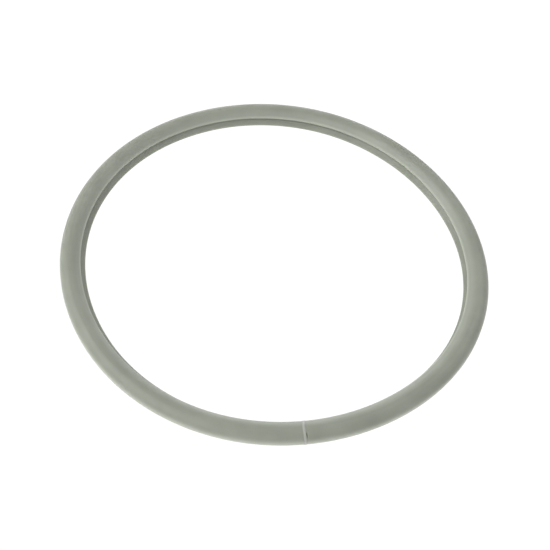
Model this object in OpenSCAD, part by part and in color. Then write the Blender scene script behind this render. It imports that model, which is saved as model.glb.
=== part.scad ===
// Sealing ring of a stovetop pressure cooker, for a pot of 22 cm nominal diameter.
// A silicone strip with a round back is bent into a ring. A notch in its inner side parts a short
// upper lip from a longer lower lip. The strip's two cut ends are joined by a thin film of silicone
// that is cured in place.
// The ring stands on its underside at z = 0, its axis is Z, and the splice faces -Y.

/* [Ring] */
// Outer diameter of the ring
outer_d = 236; // [200:1:280]
// Height of the section, from the underside to the crown
section_h = 10.8; // [10.4:0.1:11.2]
// Width of the flat lands on the crown, the outer wall and the underside
land_w = 2; // [1:0.1:3]

/* [Lips] */
// Radial distance from the outer wall to the edge of the upper lip
upper_lip_reach = 11.5; // [11.3:0.1:12.5]
// Height of the middle of the upper lip's edge
upper_lip_z = 6.9; // [6.7:0.1:7.3]
// Thickness of the upper lip at its edge
upper_lip_t = 1.6; // [1.2:0.1:1.8]
// Radial distance from the outer wall to the edge of the lower lip
lower_lip_reach = 13.4; // [12.8:0.1:15]
// Height of the middle of the lower lip's edge
lower_lip_z = 3.1; // [2.4:0.1:3.4]
// Thickness of the lower lip at its edge
lower_lip_t = 1.4; // [1:0.1:1.8]

/* [Notch] */
// Radial distance from the outer wall to the bottom of the notch
notch_reach = 10.1; // [9.4:0.1:10.2]
// Width of the notch's round bottom
notch_d = 0.6; // [0.4:0.1:0.8]

/* [Splice] */
// Thickness of the cured film between the two cut ends
film_t = 1.4; // [0.4:0.1:2]

/* [Hidden] */
// Facets of the revolved shape when it is shown as a mesh
$fn = 256;
// Largest angle between two points of a rounded stretch of the section
arc_step = 9;
outer_r = outer_d / 2;
mid_h = section_h / 2;

// The rounded back is a circle that the three lands cut slightly flat
back_r = norm([mid_h, land_w / 2]);
back_c = [outer_r - mid_h, mid_h];
land_half = atan2(land_w / 2, mid_h);

// Each lip ends in a round edge
upper_r = upper_lip_t / 2;
upper_c = [outer_r - upper_lip_reach + upper_r, upper_lip_z];
lower_r = lower_lip_t / 2;
lower_c = [outer_r - lower_lip_reach + lower_r, lower_lip_z];

// The notch runs level under the upper lip
notch_r = notch_d / 2;
notch_c = [outer_r - notch_reach - notch_r, upper_lip_z - upper_r - notch_r];

// The splice is centred on -Y
splice_at = -90;
film_angle = 2 * asin(film_t / 2 / back_c.x);

// Direction from one point to another, from 0 to 360 degrees
function heading(p, q) = (atan2(q.y - p.y, q.x - p.x) + 360) % 360;

// Angle, on either circle, of the point where a line touches both on the same side; side is 1 or -1
function outside_touch(c0, r0, c1, r1, side) = heading(c0, c1) + side * acos((r0 - r1) / norm(c1 - c0));

// Angle, on the first circle, of the point where a line touches it and then crosses to the second's far side
function crossing_touch(c0, r0, c1, r1, side) = heading(c0, c1) + side * acos((r0 + r1) / norm(c1 - c0));

// Points along an arc from one angle to another
function arc(c, r, from, to) =
    let (steps = ceil(abs(to - from) / arc_step))
    [for (i = [0:steps]) let (a = from + (to - from) * i / steps) c + r * [cos(a), sin(a)]];

// Angles at which the strip's straight stretches touch its rounded ones
upper_top = outside_touch(back_c, back_r, upper_c, upper_r, -1);
lower_under = outside_touch(back_c, back_r, lower_c, lower_r, 1);
upper_under = crossing_touch(notch_c, notch_r, upper_c, upper_r, -1);
lower_top = crossing_touch(notch_c, notch_r, lower_c, lower_r, 1);

// Section of the strip, with the radius along x and the height along y. It runs from the underside
// out round the back to the crown, round the upper lip, through the notch and round the lower lip.
section = concat(
    arc(back_c, back_r, lower_under - 360, -90 - land_half),
    arc(back_c, back_r, -90 + land_half, -land_half),
    arc(back_c, back_r, land_half, 90 - land_half),
    arc(back_c, back_r, 90 + land_half, upper_top),
    arc(upper_c, upper_r, upper_top, upper_under + 180),
    arc(notch_c, notch_r, upper_under, lower_top - 360),
    arc(lower_c, lower_r, lower_top - 180, lower_under)
);

// The section swept round the axis, starting at one angle and going on through another
module sweep(start_at, through) {
    rotate([0, 0, start_at]) rotate_extrude(angle = through) polygon(section);
}

// The extruded strip, from one cut end round to the other
module sealing_strip() {
    color([0.55, 0.58, 0.53]) sweep(splice_at + film_angle / 2, 360 - film_angle);
}

// The cured film that joins the cut ends
module splice_film() {
    color([0.70, 0.72, 0.67]) sweep(splice_at - film_angle / 2, film_angle);
}

sealing_strip();
splice_film();
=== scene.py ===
import math

import bmesh
import bpy
import numpy as np
from mathutils import Matrix, Vector


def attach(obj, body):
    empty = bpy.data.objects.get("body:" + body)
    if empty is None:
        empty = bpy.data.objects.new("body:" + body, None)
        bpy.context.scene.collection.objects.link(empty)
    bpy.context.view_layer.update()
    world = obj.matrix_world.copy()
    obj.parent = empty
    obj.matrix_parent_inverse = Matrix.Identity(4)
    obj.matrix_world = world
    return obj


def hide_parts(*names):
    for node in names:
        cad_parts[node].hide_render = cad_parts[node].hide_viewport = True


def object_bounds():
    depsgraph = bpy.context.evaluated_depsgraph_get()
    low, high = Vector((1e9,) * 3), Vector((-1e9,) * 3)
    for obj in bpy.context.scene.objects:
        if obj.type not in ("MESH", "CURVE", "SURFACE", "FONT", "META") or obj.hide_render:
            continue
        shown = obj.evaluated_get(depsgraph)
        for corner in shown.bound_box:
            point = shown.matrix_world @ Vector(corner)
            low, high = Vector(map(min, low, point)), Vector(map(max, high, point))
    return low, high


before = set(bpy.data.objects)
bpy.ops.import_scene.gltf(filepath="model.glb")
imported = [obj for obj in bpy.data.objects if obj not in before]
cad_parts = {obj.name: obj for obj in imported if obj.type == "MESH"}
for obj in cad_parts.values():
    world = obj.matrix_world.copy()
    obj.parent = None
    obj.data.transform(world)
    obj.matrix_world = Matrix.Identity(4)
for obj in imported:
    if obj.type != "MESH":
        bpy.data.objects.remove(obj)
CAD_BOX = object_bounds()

MM = 0.001

# ---------------------------------------------------------------- sizes, in metres

# The ring's own box gives its outer radius and the height of its section
OUTER_R = CAD_BOX[1].x
SECTION_H = CAD_BOX[1].z
LAND_W = 2 * MM

UPPER_LIP_REACH = 11.5 * MM
UPPER_LIP_Z = 6.9 * MM
UPPER_LIP_T = 1.6 * MM
LOWER_LIP_REACH = 13.4 * MM
LOWER_LIP_Z = 3.1 * MM
LOWER_LIP_T = 1.4 * MM

NOTCH_REACH = 10.1 * MM
NOTCH_D = 0.6 * MM

# The cured film between the two cut ends, and the azimuth of its middle
FILM_T = 1.4 * MM
SPLICE_AT = math.radians(-90)

# How finely the section is divided: the angle between points of an arc, and the longest straight piece
ARC_STEP = math.radians(4.5)
STRAIGHT_STEP = 0.8 * MM

# How finely the ring is divided: steps are short at the splice and grow away from it to the full length
STATION_STEP = 1.4 * MM
SPLICE_STEP = 0.1 * MM
STEP_GROWTH = 1.1
FILM_STATIONS = 9

# Edges that turn by more than this are shaded sharp
SHARP = math.radians(40)

# The rounded back is a circle that the three lands cut slightly flat, about the middle of the section
SECTION_MID = (OUTER_R - SECTION_H / 2, SECTION_H / 2)
BACK_R = math.hypot(SECTION_H / 2, LAND_W / 2)
LAND_HALF = math.atan2(LAND_W / 2, SECTION_H / 2)

# Each lip ends in a round edge, and so does the notch
UPPER_LIP_R = UPPER_LIP_T / 2
UPPER_LIP_C = (OUTER_R - UPPER_LIP_REACH + UPPER_LIP_R, UPPER_LIP_Z)
LOWER_LIP_R = LOWER_LIP_T / 2
LOWER_LIP_C = (OUTER_R - LOWER_LIP_REACH + LOWER_LIP_R, LOWER_LIP_Z)
NOTCH_R = NOTCH_D / 2
NOTCH_C = (OUTER_R - NOTCH_REACH - NOTCH_R, UPPER_LIP_Z - UPPER_LIP_R - NOTCH_R)

# ---------------------------------------------------------------- the section


def heading(p, q):
    """Direction from one point to another, from 0 to a full turn."""
    return math.atan2(q[1] - p[1], q[0] - p[0]) % math.tau


def outside_touch(c0, r0, c1, r1, side):
    """Angle, on either circle, of the point where a line touches both on the same side."""
    return heading(c0, c1) + side * math.acos((r0 - r1) / math.dist(c0, c1))


def crossing_touch(c0, r0, c1, r1, side):
    """Angle, on the first circle, where a line touches it and then crosses to the second's far side."""
    return heading(c0, c1) + side * math.acos((r0 + r1) / math.dist(c0, c1))


def arc(centre, radius, start, end):
    """Points along an arc, as an array of radius and height."""
    angles = np.linspace(start, end, math.ceil(abs(end - start) / ARC_STEP) + 1)
    return np.array(centre) + radius * np.column_stack([np.cos(angles), np.sin(angles)])


def divided(points, longest):
    """The closed outline again, with its straight stretches cut into pieces no longer than this."""
    out = []
    for p, q in zip(points, np.roll(points, -1, axis=0)):
        pieces = max(1, math.ceil(math.dist(p, q) / longest))
        out += [p + (q - p) * i / pieces for i in range(pieces)]
    return np.array(out)


def strip_section():
    """Outline of the strip, anticlockwise from the underside.

    It goes round the back to the crown, then round the upper lip, the notch and the lower lip.
    """
    turn = math.tau
    quarter = math.pi / 2
    upper_top = outside_touch(SECTION_MID, BACK_R, UPPER_LIP_C, UPPER_LIP_R, -1)
    lower_under = outside_touch(SECTION_MID, BACK_R, LOWER_LIP_C, LOWER_LIP_R, 1)
    upper_under = crossing_touch(NOTCH_C, NOTCH_R, UPPER_LIP_C, UPPER_LIP_R, -1)
    lower_top = crossing_touch(NOTCH_C, NOTCH_R, LOWER_LIP_C, LOWER_LIP_R, 1)
    outline = np.concatenate([
        arc(SECTION_MID, BACK_R, lower_under - turn, -quarter - LAND_HALF),
        arc(SECTION_MID, BACK_R, -quarter + LAND_HALF, -LAND_HALF),
        arc(SECTION_MID, BACK_R, LAND_HALF, quarter - LAND_HALF),
        arc(SECTION_MID, BACK_R, quarter + LAND_HALF, upper_top),
        arc(UPPER_LIP_C, UPPER_LIP_R, upper_top, upper_under + math.pi),
        arc(NOTCH_C, NOTCH_R, upper_under, lower_top - turn),
        arc(LOWER_LIP_C, LOWER_LIP_R, lower_top - math.pi, lower_under),
    ])
    return divided(outline, STRAIGHT_STEP)


def outward(outline):
    """Unit normals of a closed anticlockwise outline, at its points."""
    along = np.roll(outline, -1, axis=0) - np.roll(outline, 1, axis=0)
    normals = np.column_stack([along[:, 1], -along[:, 0]])
    return normals / np.linalg.norm(normals, axis=1, keepdims=True)


def nearest(point):
    """Index of the outline's point that is nearest to a place in the section."""
    return np.argmin(np.linalg.norm(SECTION - point, axis=1))


SECTION = strip_section()
NORMALS = outward(SECTION)
FILM_HALF = FILM_T / 2 / SECTION_MID[0]

# Angle of each point of the outline about the section's middle: 0 at the outer wall, 90 at the crown
ROUND_SECTION = np.arctan2(SECTION[:, 1] - SECTION_MID[1], SECTION[:, 0] - SECTION_MID[0])

# Distance round the outline of each of its points from its first, with the whole way round as its last
SIDES = np.linalg.norm(np.roll(SECTION, -1, axis=0) - SECTION, axis=1)
ROUND_DISTANCE = np.concatenate([[0], np.cumsum(SIDES)])

# The same distance at the part of the upper lip's rounded edge that faces up and in
LIP_FACING = math.radians(130)
LIP_EDGE = np.array(UPPER_LIP_C) + UPPER_LIP_R * np.array([math.cos(LIP_FACING), math.sin(LIP_FACING)])
LIP_EDGE_AT = ROUND_DISTANCE[nearest(LIP_EDGE)]

# The same distance at the middle of the toe, where the back turns under
TOE_FACING = math.radians(-32)
TOE_AT = ROUND_DISTANCE[np.argmin(np.abs(ROUND_SECTION - TOE_FACING))]

# ---------------------------------------------------------------- how the soft ring lies

# The ring is soft and lies slightly out of round: how far its corners stand out, and where one of them is
THREE_CORNERED = 0.5 * MM
THREE_CORNERS_AT = math.radians(-20)
FOUR_CORNERED = 0.3 * MM
FOUR_CORNERS_AT = math.radians(-30)
OVAL = 0.2 * MM
OVAL_AT = math.radians(40)

# The upper lip leans out on one side of the ring and in on the other; the lower lip leans out on two sides
UPPER_LIP_LEAN = 0.5 * MM
UPPER_LIP_OUT_AT = math.radians(150)
LOWER_LIP_LEAN = 0.3 * MM
LOWER_LIP_OUT_AT = math.radians(-60)

# The free edges of the lips ripple up and down
RIPPLE = 0.03 * MM
RIPPLES = 11

# How far the splice wanders from a straight cut: (angle about the section's middle, sideways shift). The
# wander fades away with distance along the ring.
SPLICE_WANDER = (
    (math.radians(-180), 0.3 * MM),
    (math.radians(-90), 0.1 * MM),
    (math.radians(-30), 0.2 * MM),
    (math.radians(20), -0.5 * MM),
    (math.radians(60), -1.0 * MM),
    (math.radians(100), -1.0 * MM),
    (math.radians(165), 0.3 * MM),
    (math.radians(180), 0.3 * MM),
)
WANDER_FADE = 5 * MM

# The film stands a little proud of the strip, most at its middle
FILM_BEAD = 0.16 * MM

# A nick beside the film, where the join missed a corner of the strip's end
NICK_W = 0.75 * MM
NICK_DEPTH = 1.05 * MM
NICK_AT = math.radians(49)
NICK_HALF = math.radians(16)


def wave(count, height, azimuth, crest=0.0):
    """Height of a wave that runs a whole number of times round the ring."""
    return height * np.cos(count * (azimuth - crest))


def out_of_round(azimuth):
    """How far the ring as it lies stands out past its true circle."""
    three = wave(3, THREE_CORNERED, azimuth, THREE_CORNERS_AT)
    four = wave(4, FOUR_CORNERED, azimuth, FOUR_CORNERS_AT)
    return three + four + wave(2, OVAL, azimuth, OVAL_AT)


def laid(points, normals, azimuth, proud=0.0):
    """The section's points, raised along their normals, at one azimuth of the ring as it lies."""
    radius = points[:, 0] + normals[:, 0] * proud
    height = np.maximum(points[:, 1] + normals[:, 1] * proud, 0)

    from_splice = (azimuth - SPLICE_AT + math.pi) % math.tau - math.pi
    fade = 1 / (1 + (from_splice * OUTER_R / WANDER_FADE) ** 4)
    angles, shifts = zip(*SPLICE_WANDER)
    sideways = np.interp(ROUND_SECTION, angles, shifts) * fade
    around = azimuth + sideways / radius

    free = np.clip((SECTION_MID[0] - radius) / (SECTION_MID[0] - UPPER_LIP_C[0]), 0, 1)
    rise = np.clip((height - LOWER_LIP_Z) / (UPPER_LIP_Z - LOWER_LIP_Z), 0, 1)
    upper = wave(1, UPPER_LIP_LEAN, around, UPPER_LIP_OUT_AT)
    lower = wave(2, LOWER_LIP_LEAN, around, LOWER_LIP_OUT_AT)
    lean = rise * upper + (1 - rise) * lower
    height = height + free * wave(RIPPLES, RIPPLE, around)
    radius = radius + out_of_round(around) + free * lean
    return np.column_stack([radius * np.cos(around), radius * np.sin(around), height])


# ---------------------------------------------------------------- meshes


def swept(name, azimuths, prouds):
    """A closed solid: the section carried round the ring through the azimuths, with flat ends."""
    count = len(SECTION)
    rows = [laid(SECTION, NORMALS, azimuth, proud) for azimuth, proud in zip(azimuths, prouds)]
    vertices = np.concatenate(rows)
    faces = []
    for row in range(len(rows) - 1):
        for i in range(count):
            j = (i + 1) % count
            a, b = row * count + i, row * count + j
            faces.append((a, a + count, b + count, b))
    faces.append(tuple(range(count)))
    last = (len(rows) - 1) * count
    faces.append(tuple(last + i for i in reversed(range(count))))

    mesh = bpy.data.meshes.new(name)
    mesh.from_pydata(vertices.tolist(), [], faces)
    mesh.update()
    mesh.validate()
    add_uv_map(mesh, azimuths, count)
    mesh.shade_smooth()
    mesh.set_sharp_from_angle(angle=SHARP)
    piece = bpy.data.objects.new(name, mesh)
    bpy.context.scene.collection.objects.link(piece)
    return piece


def add_uv_map(mesh, azimuths, count):
    """Map the swept faces in metres, with U along the ring and V round the section.

    The flat ends, which are hidden in the splice, get the section's own outline.
    """
    along = (np.asarray(azimuths) - SPLICE_AT) * OUTER_R
    layer = mesh.uv_layers.new(name="strip")
    swept_faces = (len(azimuths) - 1) * count
    coords = np.zeros((len(mesh.loops), 2))
    face = 0
    for row in range(len(azimuths) - 1):
        for i in range(count):
            u0, u1 = along[row], along[row + 1]
            v0, v1 = ROUND_DISTANCE[i], ROUND_DISTANCE[i + 1]
            coords[face * 4:face * 4 + 4] = ((u0, v0), (u1, v0), (u1, v1), (u0, v1))
            face += 1
    coords[swept_faces * 4:] = np.tile(SECTION, (2, 1))
    layer.data.foreach_set("uv", coords.ravel())


def strip_azimuths():
    """Azimuths from one cut end to the other, close together near the splice."""
    half_turn = math.pi - FILM_HALF
    step = SPLICE_STEP / OUTER_R
    full_step = STATION_STEP / OUTER_R
    from_end = [0.0]
    while step < full_step:
        from_end.append(from_end[-1] + step)
        step *= STEP_GROWTH
    left = math.ceil((half_turn - from_end[-1]) / full_step)
    from_end += list(np.linspace(from_end[-1], half_turn, left + 1)[1:])
    away = SPLICE_AT + FILM_HALF + np.array(from_end)
    back = SPLICE_AT + math.tau - FILM_HALF - np.array(from_end[:-1])
    return np.concatenate([away, back[::-1]])


def nick_depths(azimuth):
    """How deep the nick cuts into each point of the section at one azimuth. It is deepest at the film."""
    beside = (azimuth - SPLICE_AT - FILM_HALF) * OUTER_R / NICK_W
    across = (ROUND_SECTION - NICK_AT) / NICK_HALF
    return NICK_DEPTH * np.sqrt(np.clip(1 - beside ** 2, 0, 1)) * np.clip(1 - across ** 2, 0, 1)


def make_strip():
    azimuths = strip_azimuths()
    return swept("silicone_strip", azimuths, [-nick_depths(azimuth) for azimuth in azimuths])


def make_film():
    across = np.linspace(-1, 1, FILM_STATIONS)
    return swept("cured_splice_film", SPLICE_AT + FILM_HALF * across, FILM_BEAD * (1 - across ** 2))


# ---------------------------------------------------------------- materials

# Pigment clouds, drawn lines and grain, in features to a metre
CLOUDS = 60
LINES_ALONG = 14
LINES_ACROSS = 2600
GRAINS = 3500

# Relief of the lines and the grain
RELIEF = 0.02 * MM
LINE_STRENGTH = 0.2
GRAIN_STRENGTH = 0.12

# Painted light at the toe, standing for light from the glowing floor below, and a painted highlight at the
# upper lip's edge: full strength up to one distance, fading out at another
TOE_LIGHT_FULL = 1.2 * MM
TOE_LIGHT_REACH = 6.4 * MM
# Painted highlight at the upper lip's edge: a broad paling up to a share of the highlight colour, then a
# narrow one at full strength
LIP_GLOW_FULL = 1.5 * MM
LIP_GLOW_REACH = 6 * MM
LIP_GLOW_MOST = 0.35
LIP_HIGHLIGHT_REACH = 1.3 * MM

# Roughness where the pigment is darker and where it is lighter
DARK_ROUGHNESS = 0.44
LIGHT_ROUGHNESS = 0.36

# Silicone's refractive index, and how it carries light below the surface
IOR = 1.41
SCATTER_WEIGHT = 0.8
SCATTER_RADIUS = (1.2, 1.3, 1.0)
SCATTER_SCALE = 1.5 * MM

# Most of a noise's values lie between these
NOISE_LOW = 0.3
NOISE_HIGH = 0.7


class Nodes:
    """Short forms for building a material's nodes."""

    def __init__(self, name):
        self.material = bpy.data.materials.new(name)
        self.material.use_nodes = True
        self.tree = self.material.node_tree
        self.shader = self.tree.nodes["Principled BSDF"]

    def set(self, socket, value):
        """Link a socket to another node's output, or give it a value."""
        if isinstance(value, bpy.types.NodeSocket):
            self.tree.links.new(value, socket)
        else:
            socket.default_value = value

    def add(self, kind, **inputs):
        """A new node. An underscore in an input's name stands for a space."""
        node = self.tree.nodes.new(kind)
        for key, value in inputs.items():
            self.set(node.inputs[key.replace("_", " ")], value)
        return node

    def link(self, source, socket):
        """Link an output to one of the shader's sockets."""
        self.tree.links.new(source, self.shader.inputs[socket])

    def arithmetic(self, operation, *values):
        node = self.tree.nodes.new("ShaderNodeMath")
        node.operation = operation
        for socket, value in zip(node.inputs, values):
            self.set(socket, value)
        return node.outputs[0]

    def ranged(self, value, from_min, from_max, to_min, to_max, kind="LINEAR"):
        """A value carried from one range to another."""
        node = self.add(
            "ShaderNodeMapRange",
            Value=value,
            From_Min=from_min,
            From_Max=from_max,
            To_Min=to_min,
            To_Max=to_max,
        )
        node.interpolation_type = kind
        return node.outputs["Result"]

    def strip_uv(self):
        """The strip's own coordinates: metres along the ring and metres round the section."""
        uv = self.tree.nodes.new("ShaderNodeUVMap")
        uv.uv_map = "strip"
        return uv.outputs["UV"]

    def scaled(self, vector, *per_metre):
        """Coordinates in features: so many to a metre along each axis."""
        return self.add("ShaderNodeMapping", Vector=vector, Scale=per_metre).outputs["Vector"]

    def near(self, at, full, reach, most=1):
        """Strongest close to one place round the section, falling smoothly to 0 at a distance from it."""
        round_section = self.add("ShaderNodeSeparateXYZ", Vector=self.strip_uv()).outputs["Y"]
        away = self.arithmetic("ABSOLUTE", self.arithmetic("SUBTRACT", round_section, at))
        return self.ranged(away, full, reach, most, 0, "SMOOTHSTEP")

    def noise(self, vector, detail):
        return self.add("ShaderNodeTexNoise", Vector=vector, Scale=1, Detail=detail).outputs["Fac"]

    def spread(self, noise, low, high):
        """A noise spread from low to high."""
        return self.ranged(noise, NOISE_LOW, NOISE_HIGH, low, high)

    def bump(self, strength, height, **under):
        node = self.add("ShaderNodeBump", Strength=strength, Distance=RELIEF, Height=height, **under)
        return node.outputs["Normal"]

    def mix(self, factor, a, b):
        """One colour passing into another. Each is a socket or a plain colour."""
        node = self.tree.nodes.new("ShaderNodeMix")
        node.data_type = "RGBA"
        self.set(node.inputs["Factor"], factor)
        for name, colour in (("A", a), ("B", b)):
            # The node has one A and one B for each data type; these are its colour ones
            socket = next(i for i in node.inputs if i.name == name and i.type == "RGBA")
            self.set(socket, (*colour, 1) if isinstance(colour, tuple) else colour)
        return next(o for o in node.outputs if o.type == "RGBA")


def silicone(name, darker, lighter, lip_highlight, toe_light):
    """Satin silicone: cloudy pigment, with painted floor light at the toe and a painted highlight at the
    upper lip's edge, and fine lines left by the die.
    """
    n = Nodes(name)
    coords = n.add("ShaderNodeTexCoord").outputs["Object"]
    clouds = n.noise(n.scaled(coords, CLOUDS, CLOUDS, CLOUDS), detail=3)
    body = n.mix(n.spread(clouds, 0, 1), darker, lighter)
    # Painted light: the toe is paled towards the light that the glowing floor throws up under the back
    toe_lit = n.mix(n.near(TOE_AT, TOE_LIGHT_FULL, TOE_LIGHT_REACH), body, toe_light)
    # Painted highlight: the upper lip's rounded edge paled for the light it catches and lets through
    lip_glowed = n.mix(n.near(LIP_EDGE_AT, LIP_GLOW_FULL, LIP_GLOW_REACH, LIP_GLOW_MOST), toe_lit, lip_highlight)
    n.link(n.mix(n.near(LIP_EDGE_AT, 0, LIP_HIGHLIGHT_REACH), lip_glowed, lip_highlight), "Base Color")
    n.link(n.spread(clouds, DARK_ROUGHNESS, LIGHT_ROUGHNESS), "Roughness")

    lines = n.noise(n.scaled(n.strip_uv(), LINES_ALONG, LINES_ACROSS, 1), detail=2)
    grain = n.noise(n.scaled(coords, GRAINS, GRAINS, GRAINS), detail=1)
    n.link(n.bump(LINE_STRENGTH, lines, Normal=n.bump(GRAIN_STRENGTH, grain)), "Normal")

    n.shader.inputs["IOR"].default_value = IOR
    n.shader.inputs["Subsurface Weight"].default_value = SCATTER_WEIGHT
    n.shader.inputs["Subsurface Radius"].default_value = SCATTER_RADIUS
    n.shader.inputs["Subsurface Scale"].default_value = SCATTER_SCALE
    return n.material


def dressed(piece, node, material):
    """The piece stands for a CAD node, rides with it and takes its finish from a slot."""
    piece.data.materials.append(material)
    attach(piece, "root")
    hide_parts(node)


# ---------------------------------------------------------------- camera, floor and light

# The camera looks down at the ring from the front, a little left of the splice, and leans to one side
CAMERA_AIM = Vector((-0.00087, -0.00744, 0.0))
CAMERA_AZIMUTH = math.radians(-13.65)
CAMERA_ELEVATION = math.radians(51.74)
CAMERA_DISTANCE = 0.6905
CAMERA_ROLL = math.radians(7.89)
CAMERA_LENS = 81.86
SENSOR_W = 36
CLIP_START = 0.01
CLIP_END = 100

FLOOR_HALF = 6
FLOOR_DROP = 0.1 * MM
DOME_R = 9
FLOOR_GLOW = 1.05
SKY = 0.45

# Soft boxes, all facing the ring: (name, azimuth from the camera's, elevation, width, power in watts)
SOFT_BOXES = (
    ("left_box", -90, 42, 1.2, 10),
    ("front_left_box", -45, 42, 1.2, 7),
    ("front_box", 0, 12, 1.0, 3),
    ("right_box", 90, 42, 1.2, 2),
    ("back_right_box", 135, 42, 1.2, 2),
    ("back_box", 180, 12, 1.0, 4),
)
BOX_DISTANCE = 1.5


def from_compass(azimuth, elevation):
    """Unit vector towards a place: azimuth 0 is -Y, 90 degrees is +X, and elevation is above the floor."""
    return Vector((
        math.sin(azimuth) * math.cos(elevation),
        -math.cos(azimuth) * math.cos(elevation),
        math.sin(elevation),
    ))


def make_camera():
    data = bpy.data.cameras.new("camera")
    data.lens = CAMERA_LENS
    data.sensor_width = SENSOR_W
    data.clip_start = CLIP_START
    data.clip_end = CLIP_END
    camera = bpy.data.objects.new("camera", data)
    back = from_compass(CAMERA_AZIMUTH, CAMERA_ELEVATION)
    level = (-back).to_track_quat("-Z", "Y").to_matrix()
    turned = (level @ Matrix.Rotation(CAMERA_ROLL, 3, "Z")).to_4x4()
    camera.matrix_world = Matrix.Translation(CAMERA_AIM + back * CAMERA_DISTANCE) @ turned
    bpy.context.scene.collection.objects.link(camera)
    bpy.context.scene.camera = camera


def staged(name, mesh):
    """A part of the stage that glows a plain white."""
    n = Nodes("glowing_" + name)
    n.shader.inputs["Base Color"].default_value = (0, 0, 0, 1)
    n.shader.inputs["Specular IOR Level"].default_value = 0
    n.shader.inputs["Emission Color"].default_value = (1, 1, 1, 1)
    n.shader.inputs["Emission Strength"].default_value = FLOOR_GLOW
    mesh.materials.append(n.material)
    obj = bpy.data.objects.new(name, mesh)
    bpy.context.scene.collection.objects.link(obj)
    return obj


def make_floor():
    """A pale floor that glows as a lit table does, just below the ring."""
    mesh = bpy.data.meshes.new("floor")
    corners = [(x * FLOOR_HALF, y * FLOOR_HALF, 0) for x, y in ((-1, -1), (1, -1), (1, 1), (-1, 1))]
    mesh.from_pydata(corners, [], [(0, 1, 2, 3)])
    staged("floor", mesh).location.z = CAD_BOX[0].z - FLOOR_DROP


def make_backdrop():
    """A white dome behind everything. Nothing but the camera sees it, so it lights nothing."""
    mesh = bpy.data.meshes.new("backdrop")
    form = bmesh.new()
    bmesh.ops.create_icosphere(form, subdivisions=3, radius=DOME_R)
    form.to_mesh(mesh)
    form.free()
    dome = staged("backdrop", mesh)
    dome.visible_diffuse = False
    dome.visible_glossy = False
    dome.visible_transmission = False
    dome.visible_shadow = False


def make_light():
    world = bpy.data.worlds.new("studio")
    world.use_nodes = True
    world.node_tree.nodes["Background"].inputs["Color"].default_value = (1, 1, 1, 1)
    world.node_tree.nodes["Background"].inputs["Strength"].default_value = SKY
    bpy.context.scene.world = world
    for name, azimuth, elevation, width, power in SOFT_BOXES:
        data = bpy.data.lights.new(name, "AREA")
        data.shape = "SQUARE"
        data.size = width
        data.energy = power
        light = bpy.data.objects.new(name, data)
        towards = from_compass(CAMERA_AZIMUTH + math.radians(azimuth), math.radians(elevation))
        facing = (-towards).to_track_quat("-Z", "Y").to_matrix().to_4x4()
        light.matrix_world = Matrix.Translation(towards * BOX_DISTANCE) @ facing
        light.visible_camera = False
        bpy.context.scene.collection.objects.link(light)


# ---------------------------------------------------------------- the scene

make_camera()
make_floor()
make_backdrop()
make_light()
bpy.context.scene.view_settings.view_transform = "Standard"

# Painted light: the colour the toe is paled towards, standing for light from the glowing floor below
PAINTED_TOE_LIGHT = (0.50, 0.52, 0.45)
strip_material = silicone(
    "grey_green_silicone",
    darker=(0.280, 0.294, 0.248),
    lighter=(0.321, 0.338, 0.287),
    # Painted highlight colour of the upper lip's edge
    lip_highlight=(0.42, 0.44, 0.385),
    toe_light=PAINTED_TOE_LIGHT,
)
film_material = silicone(
    "pale_silicone",
    darker=(0.39, 0.405, 0.355),
    lighter=(0.43, 0.445, 0.395),
    # Painted highlight colour of the upper lip's edge
    lip_highlight=(0.56, 0.58, 0.52),
    toe_light=PAINTED_TOE_LIGHT,
)
dressed(make_strip(), "sealing_strip", strip_material)
dressed(make_film(), "splice_film", film_material)
